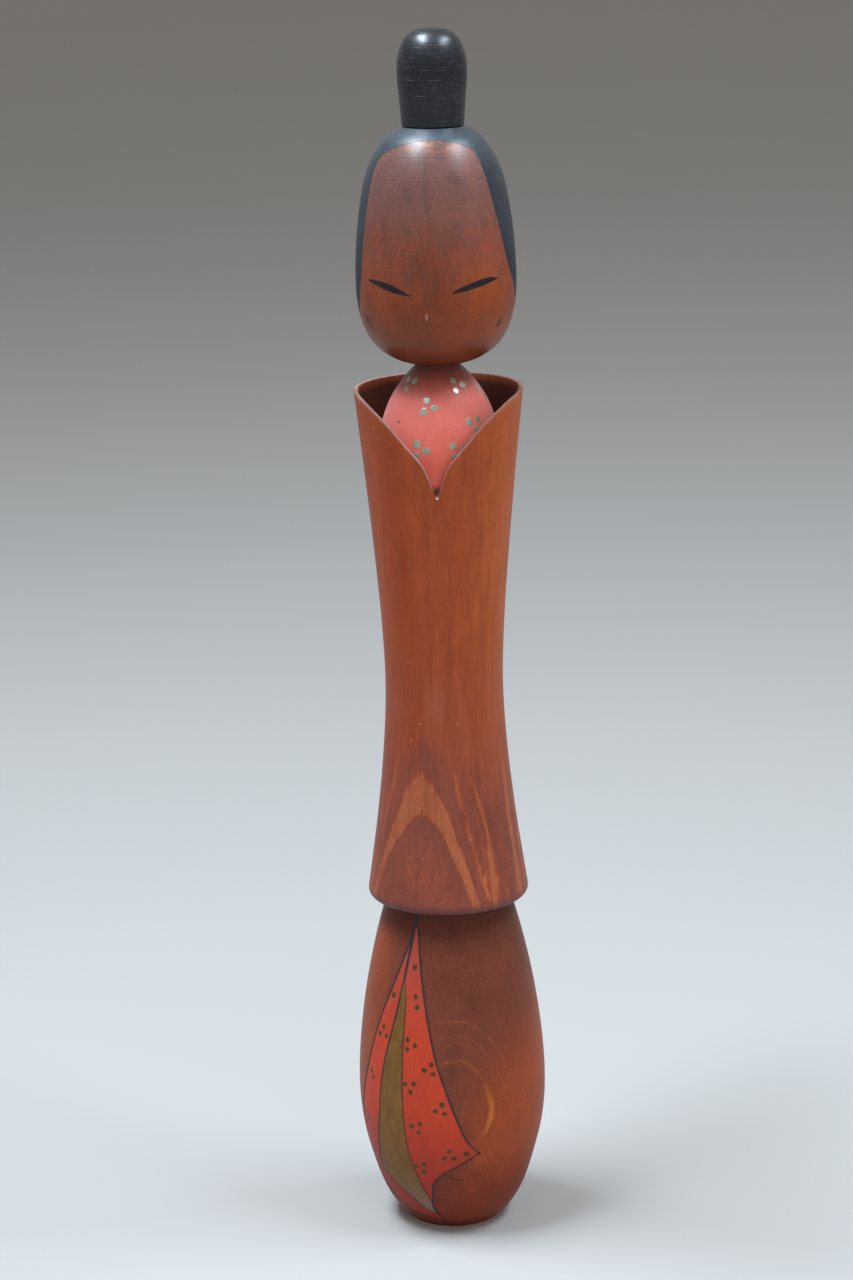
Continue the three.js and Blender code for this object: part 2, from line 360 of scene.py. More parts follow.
    # Painted sheen: the crown catches the overhead lamps.
    hair_crown_sheen: colour("Hair, high", "Greyer hair on the crown", 0.032, 0.046, 0.060)
    knot: colour("Topknot", "Paint of the topknot", 0.004, 0.005, 0.009)
    rubbed: colour("Rubbed paint", "Specks where paint has rubbed thin", 0.300, 0.120, 0.080)
    blot: colour("Blots", "Dark spots on paint", 0.045, 0.026, 0.022)
    scratch: colour("Scratches", "Grey scratches on black paint", 0.130, 0.140, 0.150)
    dowel: colour("Dowel", "Bare beech", 0.600, 0.420, 0.240)
    floor: colour("Floor", "Pale studio floor", 0.430, 0.420, 0.405)


class KokeshiStudio(bpy.types.PropertyGroup):
    """Where the camera stands, and how strong the lamps are and of what colour."""

    camera_distance: length("Camera distance", "Distance along the floor from the doll's axis", 1126)
    camera_height: length("Camera height", "Height above the floor", 514)
    camera_side: angle_setting("Camera side", "Round the doll from the front towards +X", 3.1)
    camera_heading: angle_setting("Camera heading", "Turn of the view off the doll's axis", 0.296)
    camera_pitch: angle_setting("Camera pitch", "Downward tilt of the view", 15.03)
    camera_roll: angle_setting("Camera roll", "Roll of the view", -1.255)
    lens: FloatProperty(
        name="Lens", description="Focal length", default=95.34, min=1, subtype="DISTANCE_CAMERA",
    )
    window_left: power("Left window", "Cool soft light above left", 27)
    window_right: power("Right window", "Cool soft light above right", 14)
    fill: power("Fill", "Wide soft light from the front right", 14)
    room: FloatProperty(
        name="Room", description="Strength of the even light of the room", default=0.37, min=0,
    )
    window_tint: colour("Window tint", "Colour of both windows", 0.76, 0.88, 1.0)
    fill_tint: colour("Fill tint", "Colour of the fill", 1.0, 0.96, 0.91)
    room_tint: colour("Room tint", "Colour of the room's even light", 1.0, 0.965, 0.93)


# ---- Turned surfaces -----------------------------------------------------------------------------


def spline(points, steps=12):
    """A smooth curve through points: each stretch is the cubic whose end slopes are half the line between
    its neighbours on either side (Catmull-Rom), and an end point stands in for its missing neighbour."""
    through = np.asarray(points, float)
    before = np.vstack([through[:1], through[:-2]])
    after = np.vstack([through[2:], through[-1:]])
    start, end = through[:-1], through[1:]
    leave, arrive = (end - before) / 2, (after - start) / 2
    t = (np.arange(steps) / steps)[None, :, None]
    start, end, leave, arrive = (a[:, None, :] for a in (start, end, leave, arrive))
    curve = (2 * start - 2 * end + leave + arrive) * t**3
    curve += (3 * end - 3 * start - 2 * leave - arrive) * t**2 + leave * t + start
    return np.vstack([curve.reshape(-1, 2), through[-1:]])


def around(angle, radius, height):
    """Points at an angle in radians from the front, a radius and a height."""
    angle, radius, height = np.broadcast_arrays(angle, radius, height)
    return np.stack([radius * np.sin(angle), -radius * np.cos(angle), height], -1)


class Outline:
    """The outside of a turned piece, walked by the distance along it from its lower end."""

    def __init__(self, points, turn=0):
        self.turn = math.radians(turn)
        self.curve = spline(points, 16)
        step = np.diff(self.curve, axis=0)
        self.arc = np.concatenate([[0], np.cumsum(np.hypot(step[:, 0], step[:, 1]))])
        slope = np.gradient(self.curve, self.arc, axis=0)
        outward = np.stack([slope[:, 1], -slope[:, 0]], -1)
        self.outward = outward / np.linalg.norm(outward, axis=1, keepdims=True)

    def arc_at(self, height):
        """Distance along the outline of a height."""
        return np.interp(height, self.curve[:, 1], self.arc)

    def radius_at(self, arc):
        """Radius at a distance along the outline."""
        return np.interp(arc, self.arc, self.curve[:, 0])

    def profile(self, lift):
        """The outline moved outwards by a distance, as points of radius and height."""
        return self.curve + self.outward * lift

    def place(self, angle, arc, lift):
        """Points at an angle in radians, to which the outline's own turn is added, and a distance along
        the outline, moved outwards by a lift."""
        out_radius = np.interp(arc, self.arc, self.outward[:, 0])
        out_height = np.interp(arc, self.arc, self.outward[:, 1])
        radius = self.radius_at(arc) + out_radius * lift
        height = np.interp(arc, self.arc, self.curve[:, 1]) + out_height * lift
        return around(angle + self.turn, radius, height)


BODY = Outline(BODY_OUTLINE, HEM_TURN)
ROBE = Outline(ROBE_OUTLINE)
CHEST = Outline(CHEST_OUTLINE)
HEAD = Outline(HEAD_OUTLINE)
KNOT = Outline(KNOT_OUTLINE)


class Shape:
    """Closed surfaces gathered into one mesh: their points and their faces."""

    def __init__(self):
        self.points = []
        self.faces = []
        self.count = 0

    def add(self, points):
        """Takes a grid of points in and gives back their numbers, in the grid's own form."""
        numbers = np.arange(self.count, self.count + points[..., 0].size).reshape(points.shape[:-1])
        self.points.append(points.reshape(-1, 3))
        self.count += numbers.size
        return numbers

    def grid(self, numbers):
        """Four-cornered faces between neighbouring rows and columns of numbers."""
        corners = (numbers[:-1, :-1], numbers[:-1, 1:], numbers[1:, 1:], numbers[1:, :-1])
        self.faces.append(np.stack(corners, -1).reshape(-1, 4))

    def tube(self, rows, first_pole, last_pole):
        """A closed tube: rows of points that close on themselves, and a pole point at each end."""
        numbers = self.add(rows)
        looped = np.hstack([numbers, numbers[:, :1]])
        self.grid(looped)
        start, end = self.add(np.stack([first_pole, last_pole]))
        opening, closing = looped[0], looped[-1]
        self.faces.append(np.stack([np.full(len(opening) - 1, start), opening[1:], opening[:-1]], -1))
        self.faces.append(np.stack([np.full(len(closing) - 1, end), closing[:-1], closing[1:]], -1))

    def film(self, top, under, closed_from=None):
        """A thin closed skin between a top grid and an underside grid. From row closed_from on, the last
        column is the first one, so the rows close round the piece."""
        above, below = self.add(top), self.add(under)
        rows = len(above)
        open_rows = rows if closed_from is None else closed_from + 1
        if closed_from is not None:
            above[closed_from:, -1] = above[closed_from:, 0]
            below[closed_from:, -1] = below[closed_from:, 0]
        self.grid(above)
        self.grid(below[:, ::-1])
        self.grid(np.stack([below[:open_rows, 0], above[:open_rows, 0]], 1))
        self.grid(np.stack([above[:open_rows, -1], below[:open_rows, -1]], 1))
        self.grid(np.stack([below[0], above[0]]))
        self.grid(np.stack([above[-1], below[-1]]))

    def volume(self):
        """Volume inside the faces: the sum of the wedges that they make with the origin."""
        points = np.vstack(self.points)
        total = 0.0
        for faces in self.faces:
            for last in range(2, faces.shape[1]):
                a, b, c = points[faces[:, 0]], points[faces[:, last - 1]], points[faces[:, last]]
                total += np.einsum("ij,ij->", a, np.cross(b, c)) / 6
        return total

    def piece(self, name, material, body, slot, stands_for=(), marks=None):
        """Makes the object: faces turned outwards, smooth but for sharp edges, and riding on a body.
        Marks are named values on its first points, and stands_for names the solids that it replaces."""
        turn = slice(None, None, -1) if self.volume() < 0 else slice(None)
        points = np.vstack(self.points)
        faces = [face for group in self.faces for face in group[:, turn].tolist()]
        mesh = bpy.data.meshes.new(name)
        mesh.from_pydata((points * MM).tolist(), [], faces)
        mesh.update()
        for mark, values in (marks or {}).items():
            layer = mesh.attributes.new(mark, "FLOAT", "POINT")
            padded = np.zeros(len(points), np.float32)
            padded[: values.size] = values.ravel()
            layer.data.foreach_set("value", padded)
        mesh.materials.append(material)
        mesh.shade_smooth()
        mesh.set_sharp_from_angle(angle=math.radians(SHARP_ANGLE))
        made = bpy.data.objects.new(name, mesh)
        bpy.context.scene.collection.objects.link(made)
        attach(made, body)
        if stands_for:
            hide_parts(*stands_for)


def turned(profile, columns=256):
    """A turned solid: each point of the profile, which starts and ends on the axis, goes round Z."""
    profile = np.asarray(profile, float)
    angle = np.linspace(0, 2 * np.pi, columns, endpoint=False)
    rows = around(angle[None, :], profile[1:-1, 0, None], profile[1:-1, 1, None])
    shape = Shape()
    shape.tube(rows, np.array([0, 0, profile[0, 1]]), np.array([0, 0, profile[-1, 1]]))
    return shape


def bore(dowel, gap, end, mouth):
    """The blind hole of a dowel, from its bottom on the axis to its mouth. Its end is "low" or "high"."""
    low, high = base_of(dowel) - BORE_END_ROOM, top_of(dowel) + BORE_END_ROOM
    radius = radius_of(dowel) + gap
    bottom = low if end == "low" else high
    return [(0, bottom), (radius, bottom), (radius, mouth)]


def check_fit(node, outline):
    """Stops the script when an outline no longer has the radius of the solid that it stands for."""
    widest = outline.curve[:, 0].max()
    solid = radius_of(node)
    if abs(widest - solid) > FIT_TOLERANCE:
        raise RuntimeError(f"{node}: outline is {widest:.2f} mm in radius, its solid {solid:.2f}")


# ---- Brushwork -----------------------------------------------------------------------------------


def edges_between(rear, front, spacing=0.4, narrowest=0.6):
    """Rows for a painted shape between two edges: its heights, and the angles of both edges at each,
    which stay a narrowest angle apart."""
    rear, front = np.asarray(rear)[::-1], np.asarray(front)[::-1]
    low, high = max(rear[0, 1], front[0, 1]), min(rear[-1, 1], front[-1, 1])
    heights = np.linspace(low, high, int((high - low) / spacing))
    at_rear = np.interp(heights, rear[:, 1], rear[:, 0])
    at_front = np.interp(heights, front[:, 1], front[:, 0])
    return heights, np.radians(at_rear), np.radians(np.maximum(at_front, at_rear + narrowest))


def edge_curve(*runs):
    """One edge made of smooth runs that meet in corners."""
    return np.vstack([spline(run, 10) for run in runs])


def painted_patch(outline, rear, front, bed, coat, columns=40):
    """A coat of paint between two edges. Inside, it lies one coat above the wood; its border slopes
    down, over a quarter of the width at most, to just under the wood, and its underside is deeper
    still, so it is a closed skin with a soft painted edge."""
    heights, at_rear, at_front = edges_between(rear, front)
    width = (at_front - at_rear) * outline.radius_at(outline.arc_at(heights))
    inset = np.minimum(PAINT_SLOPE / width, 0.25)[:, None]
    inner = inset + (1 - 2 * inset) * np.linspace(0, 1, columns)[None, :]
    across = np.hstack([np.zeros_like(inset), inner, np.ones_like(inset)])
    angle = at_rear[:, None] + (at_front - at_rear)[:, None] * across
    arc = np.broadcast_to(outline.arc_at(heights)[:, None], angle.shape)
    lift = np.full(angle.shape, coat - bed)
    lift[:, [0, -1]] = lift[[0, -1], :] = -bed - BORDER_DIP
    shape = Shape()
    shape.film(outline.place(angle, arc, lift), outline.place(angle, arc, -bed - FILM_DEPTH))
    return shape


def brush_stroke(shape, outline, path, width, lift, blunt=10, point=0.5, steps=14, sides=12):
    """A brush stroke along a path of angle and height. Across each point of the smooth path lies a flat
    oval of the stroke's width; the width falls to nothing at both ends as (1 - |2t - 1| ** blunt) ** point,
    and wavers by a few hundredths of itself on the way."""
    centre = spline(path, steps)
    angle, arc = np.radians(centre[:, 0]), outline.arc_at(centre[:, 1])
    radius = outline.radius_at(arc)
    along = np.stack([np.gradient(angle) * radius, np.gradient(arc)], -1)
    length_so_far = np.concatenate([[0], np.cumsum(np.linalg.norm(along, axis=1)[1:])])
    along /= np.linalg.norm(along, axis=1, keepdims=True)
    t = length_so_far / length_so_far[-1]
    waver = 1 + STROKE_WAVER * np.sin(length_so_far * WAVER_RATE + path[0][0])
    half = width / 2 * waver * np.clip(1 - np.abs(2 * t - 1) ** blunt, 0, 1) ** point
    rim = np.linspace(0, 2 * np.pi, sides, endpoint=False)
    reach = half[1:-1, None] * np.cos(rim)[None, :]
    side_angle = angle[1:-1, None] - along[1:-1, 1, None] * reach / radius[1:-1, None]
    side_arc = arc[1:-1, None] + along[1:-1, 0, None] * reach
    rise = (np.where(np.sin(rim) > 0, STROKE_RISE, STROKE_DEPTH) * np.sin(rim))[None, :]
    rows = outline.place(side_angle, side_arc, lift + rise)
    ends = outline.place(angle[[0, -1]], arc[[0, -1]], lift - STROKE_RISE)
    shape.tube(rows, ends[0], ends[1])


def trefoil_dots(outline, trefoils, spread):
    """Angles and heights of three dots round each centre, at equal turns and a spread away from it."""
    dots = []
    for angle, height, turn in trefoils:
        arc = outline.arc_at(height)
        radius = outline.radius_at(arc)
        for third in range(3):
            heading = math.radians(turn + 120 * third)
            dot_arc = arc + spread * math.sin(heading)
            dot_height = np.interp(dot_arc, outline.arc, outline.curve[:, 1])
            dots.append((angle + math.degrees(spread * math.cos(heading) / radius), dot_height))
    return dots


def brushed_dots(shape, outline, dots, diameter, lift, hollow, seed):
    """Round dots, each a low mound of paint whose middle is hollow where the brush was lifted. At a
    share r of its radius its height is 1 - r ** 4, less hollow * (1 - r) ** 2, times the dot's rise."""
    draw = np.random.default_rng(seed)
    share = np.array([0.25, 0.5, 0.72, 0.88, 1.0])
    rim = np.linspace(0, 2 * np.pi, 16, endpoint=False)
    for angle, height in dots:
        half = diameter / 2 * draw.uniform(0.86, 1.1)
        oval = draw.uniform(0.9, 1.1)
        arc, angle = outline.arc_at(height), math.radians(angle)
        radius = outline.radius_at(arc)
        mound = DOT_RISE * (1 - share**4 - hollow * (1 - share) ** 2)
        share_all = np.concatenate([share, share[::-1][1:]])[:, None]
        rise = np.concatenate([mound, np.full(len(share) - 1, -DOT_DEPTH)])[:, None]
        rise[len(share) - 1] = -DOT_BRIM
        spread_angle = angle + half * oval * share_all * np.cos(rim) / radius
        spread_arc = arc + half / oval * share_all * np.sin(rim)
        rows = outline.place(spread_angle, spread_arc, lift + rise)
        middle = outline.place(angle, arc, lift + DOT_RISE * (1 - hollow))
        under = outline.place(angle, arc, lift - DOT_DEPTH)
        shape.tube(rows, middle, under)


# ---- Shader expressions --------------------------------------------------------------------------


class Signal:
    """A shader socket that sums and products can be written on. Each one adds a Math node."""

    def __init__(self, shade, socket):
        self.shade = shade
        self.socket = socket

    def __add__(self, other):
        return self.shade.math("ADD", self, other)

    __radd__ = __add__

    def __sub__(self, other):
        return self.shade.math("SUBTRACT", self, other)

    def __rsub__(self, other):
        return self.shade.math("SUBTRACT", other, self)

    def __mul__(self, other):
        return self.shade.math("MULTIPLY", self, other)

    __rmul__ = __mul__

    def __truediv__(self, other):
        return self.shade.math("DIVIDE", self, other)


class Shade:
    """The nodes of one material, on object coordinates in millimetres."""

    def __init__(self, name):
        self.material = bpy.data.materials.new(name)
        self.material.use_nodes = True
        self.tree = self.material.node_tree
        self.tree.nodes.clear()
        metres = self.node("TexCoord", output="Object")
        self.place = self.node("VectorMath", {"operation": "SCALE"}, {0: metres, "Scale": 1 / MM})
        split = self.node("SeparateXYZ", {}, {0: self.place})
        outputs = split.socket.node.outputs
        self.x, self.y, self.z = (Signal(self, outputs[axis]) for axis in range(3))

    def node(self, kind, settings=None, sockets=None, output=0):
        """A node of a type: its settings are set first, then the values or links of its sockets."""
        made = self.tree.nodes.new("ShaderNode" + kind)
        for name, value in (settings or {}).items():
            if name == "stops":
                self.set_stops(made.color_ramp, value)
            else:
                setattr(made, name, value)
        for name, value in (sockets or {}).items():
            if isinstance(value, Signal):
                self.tree.links.new(value.socket, made.inputs[name])
            else:
                made.inputs[name].default_value = value
        return Signal(self, made.outputs[output])

    @staticmethod
    def set_stops(ramp, stops):
        """Gives a ramp its stops of position and grey level."""
        while len(ramp.elements) < len(stops):
            ramp.elements.new(1)
        for element, (position, level) in zip(ramp.elements, stops):
            element.position = position
            element.color = (level, level, level, 1)

    def math(self, operation, first, second=0.0):
        """One Math node."""
        return self.node("Math", {"operation": operation}, {0: first, 1: second})

    def mix(self, share, first, second):
        """The first colour, turning into the second as the share goes from 0 to 1."""
        sockets = {0: share, 6: rgba(first), 7: rgba(second)}
        return self.node("Mix", {"data_type": "RGBA"}, sockets, output=2)

    def gain(self, tint, amount):
        """A colour made brighter or darker by an amount that may vary."""
        return self.node("VectorMath", {"operation": "SCALE"}, {0: tint, "Scale": amount})

    def fade(self, value, start, end):
        """0 at the start and before, 1 at the end and past it, and smooth between."""
        sockets = {"Value": value, "From Min": start, "From Max": end}
        return self.node("MapRange", {"interpolation_type": "SMOOTHSTEP"}, sockets)

    def near(self, value, centre, reach):
        """1 where a value is at the centre, and 0 where it is further off than the reach."""
        return 1 - self.fade(self.math("ABSOLUTE", value - centre), 0.0, reach)

    def bands(self, value, bands):
        """The sum of bands of a value, each given as its centre, reach and strength."""
        total = 0
        for centre, reach, strength in bands:
            total = total + self.near(value, centre, reach) * strength
        return total

    def ripple(self, size, stretch=1.0, detail=3.0, rough=0.5):
        """Noise round zero, mostly within a third either way. Its patches are about size millimetres
        across, and stretch times as long along Z."""
        scaled = {"Vector": self.place, "Scale": (1 / size, 1 / size, 1 / (size * stretch))}
        where = self.node("Mapping", {}, scaled)
        sockets = {"Vector": where, "Scale": 1, "Detail": detail, "Roughness": rough}
        return (self.node("TexNoise", {}, sockets) - 0.5) * 3

    def ripple_along(self, value, size, detail=3.0):
        """Noise round zero that depends on one value only, such as the height."""
        sockets = {"W": value / size, "Scale": 1, "Detail": detail}
        return (self.node("TexNoise", {"noise_dimensions": "1D"}, sockets) - 0.5) * 3

    def mark(self, name):
        """A named mark on the piece's own points."""
        return self.node("Attribute", {"attribute_name": name}, output="Fac")

    def angle(self):
        """Angle in degrees from the front towards +X."""
        return self.math("ARCTAN2", self.x, self.y * -1) * math.degrees(1)

    def rings(self, facing, depth):
        """Distance from a pith that runs up a depth behind the axis, seen from the facing angle."""
        across, forward = math.cos(math.radians(facing)), math.sin(math.radians(facing))
        ahead = self.x * forward - self.y * across + depth
        aside = self.x * across + self.y * forward
        return self.math("SQRT", ahead * ahead + aside * aside)

    def specks(self, size, share):
        """Sparse small specks: the middles of some cells of a cell pattern."""
        cells = self.node("TexVoronoi", {}, {"Vector": self.place, "Scale": 1 / size})
        chosen = self.node("TexVoronoi", {}, {"Vector": self.place, "Scale": 1 / size}, output="Color")
        spot = 1 - self.fade(cells, 0.03, 0.1)
        return spot * self.math("GREATER_THAN", chosen, 1 - share)

    def surface(self, tint, roughness, height=None, coat=0.0, coat_roughness=0.2, metallic=0.0,
                sheen=0.0, specular=0.5):
        """The finished material. The height is in millimetres and shows as relief."""
        sockets = {
            "Base Color": tint,
            "Roughness": roughness,
            "Metallic": metallic,
            "Coat Weight": coat,
            "Coat Roughness": coat_roughness,
            "Sheen Weight": sheen,
            "Specular IOR Level": specular,
        }
        if height is not None:
            relief = {"Strength": 1, "Distance": MM, "Height": height}
            sockets["Normal"] = self.node("Bump", {}, relief)
        shader = self.node("BsdfPrincipled", {}, sockets)
        output = self.tree.nodes.new("ShaderNodeOutputMaterial")
        self.tree.links.new(shader.socket, output.inputs["Surface"])
        return self.material


def rgba(tint):
    """A colour as a socket takes it: three numbers gain an alpha of 1, and a link stays a link."""
    return tint if isinstance(tint, Signal) else (*tint, 1.0)


# ---- Materials -----------------------------------------------------------------------------------


def lathe_marks(shade):
    """Fine rings left by the turning tool: noise on the height only, wavering a little on its way round."""
    return shade.ripple_along(shade.z + shade.ripple(9) * 0.08, 0.42, 4)


def wood_relief(fibre, marks, specks):
    """Relief of turned wood in millimetres: open fibres, tool rings and small dents."""
    return fibre * 0.006 + marks * 0.007 - specks * 0.03


def lower_body_wood(colours):
    """Dark, cloudy stain. Low on the right it thins to orange, with faint rings round a bright one. Painted
    shadow of the robe darkens it close under the robe, and painted warm light from below warms its left
    side and, with a redder stain, its foot.
    """
    shade = Shade("stained_body_wood")
    angle = shade.angle() - HEM_TURN
    fibre = shade.ripple(0.5, 12, 4, 0.6)
    cross = shade.ripple(0.7, 0.7, 3, 0.6)
    cloud = shade.ripple(11, 1.7, 4, 0.6)
    marks = lathe_marks(shade)
    pits = shade.specks(4.5, 0.3)
    ring = shade.rings(2 + HEM_TURN, BODY_PITH_DEPTH) + shade.ripple(20, 2, 1) * 0.25 + fibre * 0.05
    right = shade.fade(angle + cloud * 12, -2, 24)
    right = right * shade.fade(shade.z + cloud * 8 - angle * 0.35, 72, 34)
    right = right * (0.35 + shade.fade(shade.z, 10, 30) * 0.65)
    # Painted warm light on the left side, bounced up from below, in the heartwood's orange.
    left = shade.fade(angle + cloud * 6, -40, -62) * 0.6
    wood = shade.mix(right * 0.75 + left, colours.body_dark, colours.body_warm)
    # Redder towards the foot: partly stain, partly painted warm bounce light.
    wood = shade.mix(shade.fade(shade.z, 40, 14) * 0.6, wood, colours.body_foot_stain_and_bounce)
    # Painted shadow of the robe, close under it.
    wood = shade.mix(shade.fade(shade.z, 102, BODY_TOP - 3) * 0.7, wood, colours.body_robe_shadow)
    arcs = shade.bands(ring, BODY_RINGS) * shade.near(angle, 14, 42) * shade.fade(shade.z, 30, 55)
    bright = shade.bands(ring, BRIGHT_RING) * shade.near(angle, 25, 13) * shade.near(shade.z, 48, 16)
    veil = 0.45 + shade.fade(cloud, -0.4, 0.3) * 0.55
    wood = shade.mix(arcs * 0.28 * veil + bright * 0.85, wood, colours.body_ring)
    wood = shade.mix(pits * 0.3, wood, colours.body_pit)
    wood = shade.gain(wood, 1 + cloud * 0.26 + fibre * 0.24 + cross * 0.32 + marks * 0.14)
    rough = 0.46 + fibre * 0.06 + cloud * 0.06
    return shade.surface(wood, rough, wood_relief(fibre, marks, pits), 0.0, 0.35, specular=0.18)


def robe_figure(shade, ring, angle):
    """Tone of the robe from the rings round its pith: 0 is dark late wood, 1 is light early wood."""
    figure = shade.node("ValToRGB", {"stops": ROBE_RINGS}, {0: (ring - RING_START) / RING_SPAN})
    aside = shade.math("ABSOLUTE", angle + 16)
    upper = 0.52 + shade.near(shade.z, 195, 13) * shade.near(angle, -10, 17) * 0.3
    figure = figure + (upper - figure) * shade.fade(shade.z + aside * 0.36, 179, 188)
    low = shade.fade(shade.z + shade.ripple(4, 3) * 8, 180, 150)
    bend = shade.fade(shade.z, 146, 182) * 20
    streaks = shade.bands(angle + bend, LEANING_STREAKS) + shade.bands(angle, UPRIGHT_STREAKS)
    return figure + streaks * low


def robe_wood(colours):
    """Orange-brown stain with a cathedral figure low on the front, bare sawn edges and a dark cup."""
    shade = Shade("stained_robe_wood")
    fibre = shade.ripple(0.45, 26, 4, 0.62)
    strand = shade.ripple(2.4, 22, 3, 0.55)
    cross = shade.ripple(0.7, 0.8, 3, 0.6)
    cloud = shade.ripple(9, 2.2, 4, 0.6)
    marks = lathe_marks(shade)
    dents = shade.specks(6, 0.3)
    lean = shade.math("MINIMUM", shade.z - 155, 41) * 0.033
    lean = lean - shade.math("MAXIMUM", shade.z - 196, 0) * 0.079
    ring = shade.rings(-20, ROBE_PITH_DEPTH + lean) + shade.ripple(14, 2.5, 2) * 0.2
    ring = ring + strand * 0.03 + fibre * 0.03
    angle = shade.angle() + shade.ripple(7, 6, 2) * 1.8 + strand * 0.6
    mottle = cloud * 0.5 + shade.ripple(3, 1.6, 3) * 0.25 + cross * 0.3
    mottle = mottle * shade.near(shade.z, 132, 40)
    tone = robe_figure(shade, ring, angle) + fibre * 0.2 + strand * 0.13 + mottle
    wood = shade.mix(shade.fade(tone, 0.0, 0.5), colours.robe_dark, colours.robe_mid)
    wood = shade.mix(shade.fade(tone, 0.5, 1.0), wood, colours.robe_light)
    dull = shade.fade(shade.z + cloud * 8, 190, 158) * (1 - shade.fade(tone, 0.5, 0.8)) * 0.85
    wood = shade.mix(dull, wood, colours.robe_dull)
    high = shade.fade(shade.z, 150, 200)
    red = shade.near(angle + cloud * 8, -34, 26) * high
    wood = shade.mix(red * (0.55 + strand * 0.8), wood, colours.robe_red)
    # Darker and redder on the left: partly stain, partly painted shade.
    dark_shaded_side = shade.fade(angle, -30, -75) * 0.35
    wood = shade.mix(dark_shaded_side, wood, colours.robe_red)
    # Paler on the right: partly wood, partly painted light.
    pale_lit_side = shade.fade(angle + strand * 8, 22, 62) * high * 0.55
    wood = shade.mix(pale_lit_side, wood, colours.robe_pale_wood_and_light)
    smoke = shade.fade(cross * 0.5 + cloud + strand * 0.4, -0.5, 0.4)
    smoke = smoke * shade.near(shade.z + cloud * 6, 188, 34)
    wood = shade.mix(smoke * 0.42, wood, colours.robe_dull)
    wood = shade.mix(dents * 0.35, wood, colours.robe_dent)
    grain = fibre * 0.22 + strand * 0.18 + cloud * 0.16 + cross * 0.16 + marks * 0.06
    wood = shade.gain(wood, 1 + grain)
    # Darker round the rounded lower edge of the robe.
    low_edge_dark = shade.near(shade.z + cross * 1.5, ROBE_BASE + 0.4, 4.2) * 0.9
    wood = shade.mix(low_edge_dark, wood, colours.robe_hem)
    sawn, cup = shade.mark("sawn"), shade.mark("cup")
    # Painted shade: the sawn edge darkens into the narrow drilled tip.
    drilled = shade.fade(shade.z, V_HOLE_HEIGHT + 2.2, V_HOLE_HEIGHT + 0.4)
    edge = shade.mix(drilled * 0.8, colours.cut_edge, colours.cut_tip_shade)
    wood = shade.mix(sawn, wood, shade.gain(edge, 1 + shade.ripple(0.9) * 0.5))
    wood = shade.mix(cup, wood, shade.gain(colours.cup_dark, 1 + fibre * 0.4 + marks * 0.3))
    rough = 0.45 + fibre * 0.05 + sawn * 0.25 + cup * 0.15
    return shade.surface(wood, rough, wood_relief(fibre, marks, dents), specular=0.22)


def face_wood(colours):
    """Red-brown stain, greyer on the forehead, partly as a painted sheen, and orange over the cheeks, with
    glossy tool rings. Painted light brightens it high on the right, and it is darker towards the chin. The
    flat under the topknot is painted like the hair."""
    shade = Shade("stained_face_wood")
    angle = shade.angle()
    fibre = shade.ripple(0.45, 20, 4, 0.6)
    cross = shade.ripple(0.6, 0.6, 3, 0.6)
    cloud = shade.ripple(8, 1.6, 4, 0.6)
    marks = lathe_marks(shade)
    pits = shade.specks(5, 0.3)
    # Greyer towards the forehead: partly stain, partly painted sheen.
    down = shade.fade(shade.z + cloud * 9, 374, 328)
    wood = shade.mix(down, colours.forehead, colours.face_stain)
    cheek = shade.near(shade.z, 329, 24) * shade.near(angle, 42, 48)
    cheek = cheek + shade.near(shade.z, 332, 22) * shade.near(angle, -48, 34) * 0.35
    wood = shade.mix(cheek * 0.85 + cloud * 0.3, wood, colours.face_warm)
    ruddy = shade.near(shade.z, 350, 18) * shade.fade(shade.ripple(5, 1.4, 4) + cross * 0.5, -0.2, 0.5)
    wood = shade.mix(ruddy * 0.5, wood, colours.face_ruddy)
    smoky = shade.fade(shade.ripple(3.5, 2.2, 4), 0.05, 0.5) * shade.fade(shade.z, 318, 345)
    wood = shade.mix(smoky * 0.4, wood, colours.face_smoke)
    # Darker towards the chin.
    wood = shade.mix(shade.fade(shade.z, 322, 309) * 0.5, wood, colours.chin)
    # A lighter band along the top of the forehead: partly rubbed wood, partly painted highlight.
    brow_rub_and_highlight = shade.near(shade.z + cloud * 1.5, 382.6, 3.2) * shade.near(angle, 4, 52)
    brow_rub_and_highlight = brow_rub_and_highlight * shade.fade(shade.ripple(4, 0.8, 2), -0.15, 0.35)
    wood = shade.mix(brow_rub_and_highlight * 0.75, wood, colours.brow_wear_and_highlight)
    wood = shade.mix(pits * 0.35, wood, colours.face_pit)
    # Painted light: brighter high on the right side of the head.
    painted_light_right = 0.88 + shade.fade(angle, 8, 45) * shade.fade(shade.z, 328, 350) * 0.24
    wood = shade.gain(wood, painted_light_right + fibre * 0.24 + cross * 0.26 + cloud * 0.14 + marks * 0.18)
    crown = shade.fade(shade.z, CROWN_HEIGHT - 0.6, CROWN_HEIGHT - 0.3)
    wood = shade.mix(crown, wood, colours.hair)
    rough = 0.4 + fibre * 0.04 + marks * 0.06 + cloud * 0.04
    relief = wood_relief(fibre, marks, pits) + marks * 0.005
    gloss = 0.06 + shade.fade(shade.z, 334, 366) * 0.34
    return shade.surface(wood, rough, relief, gloss, 0.3, specular=0.25)


